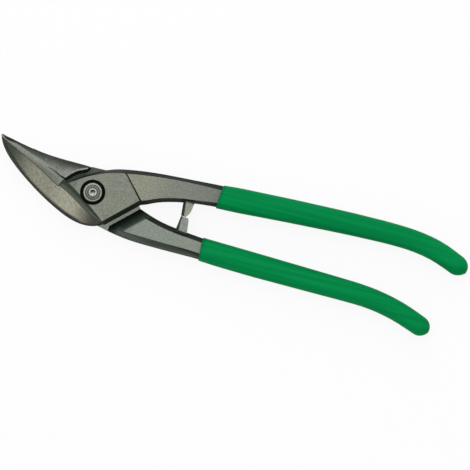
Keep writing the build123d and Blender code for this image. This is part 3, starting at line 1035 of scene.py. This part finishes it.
def break_edges(work: bmesh.types.BMesh, width: float, angle: float, segments: int = 2) -> None:
    """Bevel the crisp edges of a mesh and mark the new faces for abraded metal with a painted glint.

    Args:
        work: the mesh.
        width: how wide the broken edge is.
        angle: edges sharper than this many degrees are broken.
        segments: faces across a broken edge.
    """
    crisp = [edge for edge in work.edges
             if len(edge.link_faces) == 2 and edge.calc_face_angle(0.0) > math.radians(angle)]
    layer = work.faces.layers.float.new("worn_and_glint")
    made = bmesh.ops.bevel(work, geom=crisp, offset=width, offset_type="OFFSET", segments=segments,
                           profile=0.5, affect="EDGES", clamp_overlap=True, material=-1)
    for face in made["faces"]:
        face[layer] = 1.0


def turned(profile: list[tuple[float, float]], steps: int, join: float = 0.001 * MM) -> bmesh.types.BMesh:
    """Solid spun round the pivot axis.

    Args:
        profile: (radius, height) from the axis at the bottom to the axis at the top.
        steps: faces round the axis.
        join: points nearer than this are one.

    Returns:
        The closed mesh.
    """
    work = bmesh.new()
    points = [work.verts.new((radius, 0.0, height)) for radius, height in profile]
    edges = [work.edges.new(pair) for pair in zip(points, points[1:])]
    bmesh.ops.spin(work, geom=points + edges, cent=(0, 0, 0), axis=(0, 0, 1),
                   angle=2 * math.pi, steps=steps, use_merge=True)
    bmesh.ops.remove_doubles(work, verts=work.verts, dist=join)
    bmesh.ops.recalc_face_normals(work, faces=work.faces)
    return work


# ---- sub-assemblies ------------------------------------------------------------------
@dataclass
class Forging:
    """One half of the snips: blade, pivot boss, handle and stop lug in one forging.

    Attributes:
        name: the new piece's name.
        node: the CAD node whose shape it takes.
        body: the body that it belongs to.
        finish: its steel.
        broken_edge: width of the broken edges.
        crisp_angle: edges sharper than this many degrees are broken.
    """

    name: str
    node: str
    body: Body
    finish: ForgedSteel
    broken_edge: float = 0.22 * MM
    crisp_angle: float = 24.0

    def build(self, effects: Effects) -> bpy.types.Object:
        """Model and dress the forging.

        Args:
            effects: the shared node groups.

        Returns:
            The piece.
        """
        work = merged_copy(self.node)
        break_edges(work, self.broken_edge, self.crisp_angle)
        return keep(self.name, work, self.finish.build(effects), self.body, self.node)


@dataclass
class PivotBolt:
    """Keyed bolt with a turned head, rings round a centre dimple and a chamfered end.

    Attributes:
        chamfer: width and height of the head's chamfer.
        dome: how far the head's middle rises above its rim.
        dimple_radius, dimple_depth: the centre dimple.
        dimple_floor, dimple_tip: radius of its floor, and how far that dips to its middle.
        lip: rounding of its edge.
        ring_radii, ring_width, ring_depth: the turned rings.
        head_height: under side to top of the head.
        shank_radius: of the shank.
        end_chamfer: width and height of the end's chamfer.
        centre_radius, centre_depth: the cone of the lathe's centre in the end.
        steps: faces round the axis.
    """

    chamfer: float = 0.75 * MM
    dome: float = 0.25 * MM
    dimple_radius: float = 1.7 * MM
    dimple_depth: float = 0.9 * MM
    dimple_floor: float = 0.25 * MM
    dimple_tip: float = 0.05 * MM
    lip: float = 0.12 * MM
    ring_radii: tuple[float, ...] = (2.35 * MM, 3.15 * MM, 4.0 * MM)
    ring_width: float = 0.36 * MM
    ring_depth: float = 0.14 * MM
    head_height: float = 2.6 * MM
    shank_radius: float = 3.98 * MM
    end_chamfer: float = 0.7 * MM
    centre_radius: float = 0.9 * MM
    centre_depth: float = 0.5 * MM
    steps: int = 96

    def build(self, effects: Effects) -> bpy.types.Object:
        """Model and dress the bolt.

        Args:
            effects: the shared node groups.

        Returns:
            The piece.
        """
        low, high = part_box("pivot_bolt")
        rim, top, end = high.x, high.z, low.z
        seat = top - self.head_height
        profile = [(0.0, end + self.centre_depth), (self.centre_radius, end),
                   (self.shank_radius - self.end_chamfer, end), (self.shank_radius, end + self.end_chamfer),
                   (self.shank_radius, seat), (rim, seat),
                   (rim, top - self.chamfer - self.dome), (rim - self.chamfer, top - self.dome)]
        half, quarter = self.ring_width / 2, self.ring_width / 4
        for radius in reversed(self.ring_radii):
            level = self.crown(top, rim, radius)
            profile += [(radius + half, level), (radius + quarter, level - self.ring_depth),
                        (radius - quarter, level - self.ring_depth), (radius - half, level)]
        floor = top - self.dimple_depth
        profile += [(self.dimple_radius + self.lip, top), (self.dimple_radius, top - self.lip / 2),
                    (self.dimple_floor, floor), (0.0, floor - self.dimple_tip)]
        work = turned(profile, self.steps)
        steel = TurnedSteel("turned steel").build(effects)
        return keep("bolt", work, steel, Body.UPPER, "pivot_bolt")

    def crown(self, top: float, rim: float, radius: float) -> float:
        """Height of the slightly domed head at a radius.

        Args:
            top: height of its middle.
            rim: radius of the head.
            radius: where.

        Returns:
            The height.
        """
        return top - self.dome * (radius / rim) ** 2


@dataclass
class SmallPiece:
    """Nut or spring at the back of the pivot, from its CAD form with broken edges.

    Attributes:
        name: the new piece's name.
        node: the CAD node whose shape it takes.
        slot: the record's slot of its finish; not used.
        finish: its steel.
        broken_edge: width of the broken edges.
        crisp_angle: edges sharper than this many degrees are broken.
    """

    name: str
    node: str
    slot: Slot
    finish: PlainSteel
    broken_edge: float
    crisp_angle: float = 20.0

    def build(self, effects: Effects) -> bpy.types.Object:
        """Model and dress the piece.

        Args:
            effects: the shared node groups.

        Returns:
            The piece.
        """
        work = merged_copy(self.node)
        break_edges(work, self.broken_edge, self.crisp_angle)
        return keep(self.name, work, self.finish.build(effects), Body.UPPER, self.node)


@dataclass
class GripSection:
    """Cross-section of a grip.

    Attributes:
        middle: its middle.
        heading: unit vector that it stands square to.
        width: its size in plan.
        height: its size upwards.
    """

    middle: Vector
    heading: Vector
    width: float
    height: float


@dataclass
class Grip:
    """Dipped grip: a rounded skin swept along the handle, with a straight front rim.

    Attributes:
        name: the new piece's name.
        node: the CAD node that gives its line and girth.
        body: the body that it moves with.
        pitch: distance between measured sections.
        corner: radius of the section's corners.
        corner_steps: faces round a corner.
        lip: roundness of the front edge.
        wall: how far the front face reaches in towards the steel.
        end_rings: rings that close the end.
        front_edge: how far from the pivot axis the front rim lies.
        front_turn: which way the rim faces, in degrees from X.
        wall_depth: how far behind the rim the front face is set where it meets the steel.
        tuck: how far behind the rim it ends, once it has turned in along the handle.
        lip_share: how far from the faces the middle of the lip's quarter round lies, in its radii.
        end_gain: how much further than the last measured length the end reaches.
        end_bend: how much harder the grip bends there than before it.
        end_close: how far the end closes, 1 being to a point.
        ease_pulls: by what shares the line is pulled straight and let go, turn by turn.
        full_slack: how much lower than the full height a section may be and still count.
        slice_slack: how near to a slice a point lies on it.
        crease: edges sharper than this many degrees stay crisp.
    """

    name: str
    node: str
    body: Body
    pitch: float = 5 * MM
    corner: float = 5.4 * MM
    corner_steps: int = 8
    lip: float = 0.7 * MM
    wall: float = 3.4 * MM
    end_rings: int = 8
    front_edge: float = 69.4 * MM
    front_turn: float = 0.0
    wall_depth: float = 0.12 * MM
    tuck: float = 0.5 * MM
    lip_share: float = 0.3
    end_gain: float = 0.25 * MM
    end_bend: float = 3.8
    end_close: float = 0.97
    ease_pulls: tuple[float, ...] = (0.5, -0.52) * 3
    full_slack: float = 0.05 * MM
    slice_slack: float = 0.0001 * MM
    crease: float = 60.0

    def measure(self, work: bmesh.types.BMesh, point: Vector, heading: Vector) -> GripSection | None:
        """Slice the CAD grip square to its line.

        Args:
            work: the CAD grip's mesh; it isn't changed.
            point: a point on the slice.
            heading: the slice's normal.

        Returns:
            The section, or None past the end.
        """
        cut = work.copy()
        made = bmesh.ops.bisect_plane(cut, geom=cut.verts[:] + cut.edges[:] + cut.faces[:],
                                      dist=self.slice_slack, plane_co=point, plane_no=heading)
        ring = [item.co.copy() for item in made["geom_cut"] if isinstance(item, bmesh.types.BMVert)]
        cut.free()
        if not ring:
            return None
        across = Vector((-heading.y, heading.x, 0.0))
        sides = [(spot - point).dot(across) for spot in ring]
        heights = [spot.z for spot in ring]
        middle = point + across * (max(sides) + min(sides)) / 2
        middle.z = (max(heights) + min(heights)) / 2
        return GripSection(middle, heading.copy(), max(sides) - min(sides), max(heights) - min(heights))

    def track(self) -> tuple[list[GripSection], float]:
        """Follow the grip from its front edge to where its end starts to close.

        Returns:
            The sections, and how far the end reaches beyond the last.
        """
        work = bmesh.new()
        work.from_mesh(frame["nodes"][self.node].data)
        low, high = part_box(self.node)
        full = high.z - low.z
        level = Vector((1.0, 0.0, 0.0))
        probes = [self.measure(work, Vector((low.x + depth, high.y, full / 2)), level)
                  for depth in (self.pitch, 2 * self.pitch)]
        heading = (probes[1].middle - probes[0].middle).normalized()
        point = probes[0].middle
        found: list[GripSection] = []
        while True:
            section = self.measure(work, point, heading)
            if section is None or section.height < full - self.full_slack:
                break
            if found:
                heading = (section.middle - found[-1].middle).normalized()
                section.heading = heading.copy()
            found.append(section)
            point = section.middle + heading * self.pitch
        last = found[-1]
        beyond = max((vertex.co - last.middle).dot(last.heading) for vertex in work.verts)
        work.free()
        return found, beyond

    def build(self, material: bpy.types.Material) -> bpy.types.Object:
        """Model and dress the grip.

        Args:
            material: the vinyl.

        Returns:
            The piece.
        """
        sections, beyond = self.track()
        first = sections[0]
        eased = self.smoothed(sections)
        rows = self.front(first) + eased + self.end(eased[-2], eased[-1], beyond)
        work = bmesh.new()
        bmesh.ops.create_circle(work, segments=4, radius=math.sqrt(0.5), calc_uvs=False)
        bmesh.ops.rotate(work, verts=work.verts, cent=(0, 0, 0), matrix=Matrix.Rotation(math.pi / 4, 3, "Z"))
        bmesh.ops.scale(work, verts=work.verts, vec=(first.width, first.height, 1.0))
        bmesh.ops.bevel(work, geom=work.verts[:], offset=self.corner * 0.999, offset_type="OFFSET",
                        segments=self.corner_steps, profile=0.5, affect="VERTICES",
                        clamp_overlap=True, material=-1)
        bmesh.ops.transform(work, matrix=self.stand(first), verts=work.verts)
        edges = work.edges[:]
        self.resize(work.verts[:], first, rows[0])
        for here, after in zip(rows, rows[1:]):
            made = bmesh.ops.extrude_edge_only(work, edges=edges)["geom"]
            verts = [item for item in made if isinstance(item, bmesh.types.BMVert)]
            edges = [item for item in made if isinstance(item, bmesh.types.BMEdge)]
            self.resize(verts, here, after)
        bmesh.ops.contextual_create(work, geom=edges)
        bmesh.ops.recalc_face_normals(work, faces=work.faces)
        return keep(self.name, work, material, self.body, self.node,
                    self.crease)

    def resize(self, verts: list[bmesh.types.BMVert], here: GripSection, after: GripSection) -> None:
        """Move a ring of vertices from one section to another.

        Args:
            verts: the ring.
            here: the section that it lies on.
            after: the section that it goes to.
        """
        scale = Matrix.Diagonal((after.width / here.width, after.height / here.height, 1.0, 1.0))
        move = self.stand(after) @ scale @ self.stand(here).inverted()
        for vertex in verts:
            vertex.co = move @ vertex.co

    @staticmethod
    def stand(section: GripSection) -> Matrix:
        """Place of a section that is drawn about the origin in XY.

        Args:
            section: the section.

        Returns:
            The matrix that puts it in its place.
        """
        across = Vector((-section.heading.y, section.heading.x, 0.0))
        turn = Matrix((across, Vector((0.0, 0.0, 1.0)), section.heading)).transposed().to_4x4()
        return Matrix.Translation(section.middle) @ turn

    def front(self, first: GripSection) -> list[GripSection]:
        """Rows that round the front edge and turn in to the steel.

        Args:
            first: the first measured section.

        Returns:
            The rows, innermost first.
        """
        square = Matrix.Rotation(math.radians(self.front_turn), 3, "Z") @ Vector((1.0, 0.0, 0.0))
        width = first.width / first.heading.dot(square)
        near = self.lip * self.lip_share
        rows = []
        for inset, ahead in ((self.wall, self.tuck), (self.wall, self.wall_depth), (self.lip, 0.0),
                             (near, near), (0.0, self.lip)):
            back = (self.front_edge + ahead - first.middle.x) / first.heading.x
            rows.append(GripSection(first.middle + first.heading * back, square,
                                    width - 2 * inset, first.height - 2 * inset))
        return rows

    def smoothed(self, sections: list[GripSection]) -> list[GripSection]:
        """Ease out the slight corners in the line of the measured sections.

        Args:
            sections: the measured sections.

        Returns:
            The eased ones, from the second on.
        """
        eased = sections[:]
        for pull in self.ease_pulls:
            rounded = [eased[0]]
            for before, here, after in zip(eased, eased[1:], eased[2:]):
                middle = here.middle.lerp((before.middle + after.middle) / 2, pull)
                heading = (after.middle - before.middle).normalized()
                width = here.width + ((before.width + after.width) / 2 - here.width) * pull
                rounded.append(GripSection(middle, heading, width, here.height))
            eased = rounded + [eased[-1]]
        last = eased[-1]
        step_bend = eased[-3].heading.xy.angle_signed(eased[-2].heading.xy)
        eased[-1] = GripSection(last.middle, Matrix.Rotation(-step_bend, 3, "Z") @ eased[-2].heading,
                                last.width, last.height)
        return eased[1:]

    def end(self, before: GripSection, last: GripSection, beyond: float) -> list[GripSection]:
        """Rows that round the end, which goes on bending as the grip does there.

        Args:
            before: the last section but one.
            last: the last section.
            beyond: how far the end reaches beyond it.

        Returns:
            The rows, outermost last.
        """
        bend = -before.heading.xy.angle_signed(last.heading.xy) / self.pitch * self.end_bend
        beyond += self.end_gain
        rows = []
        for ring in range(1, self.end_rings + 1):
            turn = 0.5 * math.pi * ring / self.end_rings
            inset = beyond * (1 - math.cos(turn)) * self.end_close
            ahead = beyond * math.sin(turn)
            path = Matrix.Rotation(bend * ahead / 2, 3, "Z") @ last.heading
            heading = Matrix.Rotation(bend * ahead, 3, "Z") @ last.heading
            rows.append(GripSection(last.middle + path * ahead, heading,
                                    last.width - 2 * inset, last.height - 2 * inset))
        return rows


# ---- view ----------------------------------------------------------------------------
@dataclass
class Studio:
    """Pale table, soft light from above and a camera that looks straight down.

    Attributes:
        aim: point on the tool's middle plane that the camera looks at.
        field: width of what the camera sees there.
        distance: camera to the middle plane.
        roll: how far the picture is turned against the part's axes, in degrees.
        sensor: width of the camera's sensor, in millimetres.
        sight: how far the camera sees.
        floor_colour, floor_roughness, floor_gloss: the table's paint.
        floor_reach: the table's middle to its sides.
        floor_lift: how far the table looks whiter to the camera than it is lit.
        sky_level: strength of the even light from all round.
        overhead_place, overhead_size, overhead_power: the big lamp above, in metres and watts.
        low_place, low_size, low_power: the lamp beside the tool.
    """

    aim: Vector
    field: float = 270.7 * MM
    distance: float = 5.0
    roll: float = 20.0
    floor_colour: tuple[int, int, int] = (246, 246, 246)
    sensor: float = 36.0
    sight: float = 20.0
    floor_roughness: float = 0.9
    floor_gloss: float = 0.1
    floor_reach: float = 3.0
    floor_lift: float = 0.9
    sky_level: float = 0.62
    overhead_place: tuple[float, float, float] = (-0.25, 0.45, 1.5)
    overhead_size: float = 1.4
    overhead_power: float = 8.9
    low_place: tuple[float, float, float] = (-0.35, 0.96, 0.62)
    low_size: float = 0.5
    low_power: float = 3.0

    def build(self) -> None:
        """Set the floor, the lights and the camera."""
        scene = bpy.context.scene
        scene.view_settings.view_transform = "Standard"
        self.floor()
        self.sky()
        self.lamp("overhead lamp", self.overhead_place, self.overhead_size, self.overhead_power)
        self.lamp("low lamp", self.low_place, self.low_size, self.low_power)
        lens = bpy.data.cameras.new("camera")
        lens.sensor_width = self.sensor
        lens.lens = self.sensor * self.distance / self.field
        lens.clip_end = self.sight
        camera = bpy.data.objects.new("camera", lens)
        camera.location = self.aim + Vector((0, 0, self.distance))
        camera.rotation_euler = (0.0, 0.0, math.radians(self.roll))
        bpy.context.collection.objects.link(camera)
        scene.camera = camera

    def floor(self) -> None:
        """Pale table that keeps a soft shadow."""
        work = bmesh.new()
        bmesh.ops.create_grid(work, x_segments=1, y_segments=1, size=self.floor_reach)
        mesh = bpy.data.meshes.new("table")
        work.to_mesh(mesh)
        work.free()
        table = bpy.data.objects.new("table", mesh)
        bpy.context.collection.objects.link(table)
        material, wiring, shader = new_material("pale table")
        wiring.feed_all(shader, Base_Color=linear(*self.floor_colour), Roughness=self.floor_roughness,
                        Specular_IOR_Level=self.floor_gloss)
        white = wiring.node("Emission")
        lifted = wiring.node("MixShader")
        wiring.feed(wiring.math("MULTIPLY", self.seen(wiring), self.floor_lift), lifted.inputs["Fac"])
        wiring.feed(shader.outputs["BSDF"], lifted.inputs[1])
        wiring.feed(white.outputs["Emission"], lifted.inputs[2])
        output = material.node_tree.nodes["Material Output"]
        wiring.feed(lifted.outputs["Shader"], output.inputs["Surface"])
        mesh.materials.append(material)

    @staticmethod
    def seen(wiring: Wiring) -> bpy.types.NodeSocket:
        """Tell the rays that show the background from those that light the tool.

        Args:
            wiring: the material's or world's wiring.

        Returns:
            1 for rays from the camera, mirrored or passed on, or else 0.
        """
        path = wiring.node("LightPath")
        mirrored = wiring.math("MAXIMUM", path.outputs["Is Glossy Ray"], path.outputs["Is Transmission Ray"])
        return wiring.math("MAXIMUM", path.outputs["Is Camera Ray"], mirrored)

    def sky(self) -> None:
        """Even light from all round, white where the camera or a shiny face sees it."""
        world = bpy.data.worlds.new("studio")
        world.use_nodes = True
        bpy.context.scene.world = world
        wiring = Wiring(world.node_tree)
        strength = wiring.between(self.seen(wiring), self.sky_level, 1.0)
        background = world.node_tree.nodes["Background"]
        wiring.feed_all(background, Color=(1.0, 1.0, 1.0, 1.0), Strength=strength)

    def lamp(self, name: str, place: tuple[float, float, float], size: float, power: float) -> None:
        """Square soft lamp that points at the tool.

        Args:
            name: the lamp's name.
            place: where it hangs.
            size: its side.
            power: its power in watts.
        """
        light = bpy.data.lights.new(name, "AREA")
        light.shape = "SQUARE"
        light.size = size
        light.energy = power
        lamp = bpy.data.objects.new(name, light)
        lamp.location = place
        lamp.rotation_euler = (self.aim - lamp.location).to_track_quat("-Z", "Y").to_euler()
        bpy.context.collection.objects.link(lamp)


@dataclass
class TinSnips:
    """The whole tool.

    Attributes:
        effects: the shared node groups.
        lower_front_turn: which way the lower grip's front rim faces, in degrees from X.
    """

    effects: Effects
    lower_front_turn: float = 8.0

    def build(self) -> None:
        """Build every piece in order."""
        upper_steel = ForgedSteel("forged steel upper", UPPER_TONES_AND_PAINTED_LIGHT)
        lower_steel = ForgedSteel("forged steel lower", LOWER_TONES_AND_PAINTED_LIGHT)
        Forging("upper_forging", "upper_half", Body.UPPER, upper_steel).build(self.effects)
        Forging("lower_forging", "lower_half", Body.LOWER, lower_steel).build(self.effects)
        PivotBolt().build(self.effects)
        spring = PlainSteel("spring steel", light=(120, 121, 117), dark=(96, 97, 92), roughness=0.38)
        SmallPiece("spring_washer", "disc_spring", Slot.SPRING, spring,
                   broken_edge=0.12 * MM).build(self.effects)
        plated = PlainSteel("plated steel", light=(188, 187, 178), dark=(160, 160, 152), roughness=0.3)
        SmallPiece("thin_nut", "lock_nut", Slot.PLATED, plated,
                   broken_edge=0.15 * MM).build(self.effects)
        vinyl = DippedVinyl("green vinyl").build(self.effects)
        Grip("upper_vinyl_grip", "upper_grip", Body.UPPER).build(vinyl)
        Grip("lower_vinyl_grip", "lower_grip", Body.LOWER, front_turn=self.lower_front_turn).build(vinyl)


def main() -> None:
    """Build the tool and its studio."""
    TinSnips(Effects()).build()
    Studio(TOOL_MIDDLE).build()


if __name__ == "__main__":
    main()
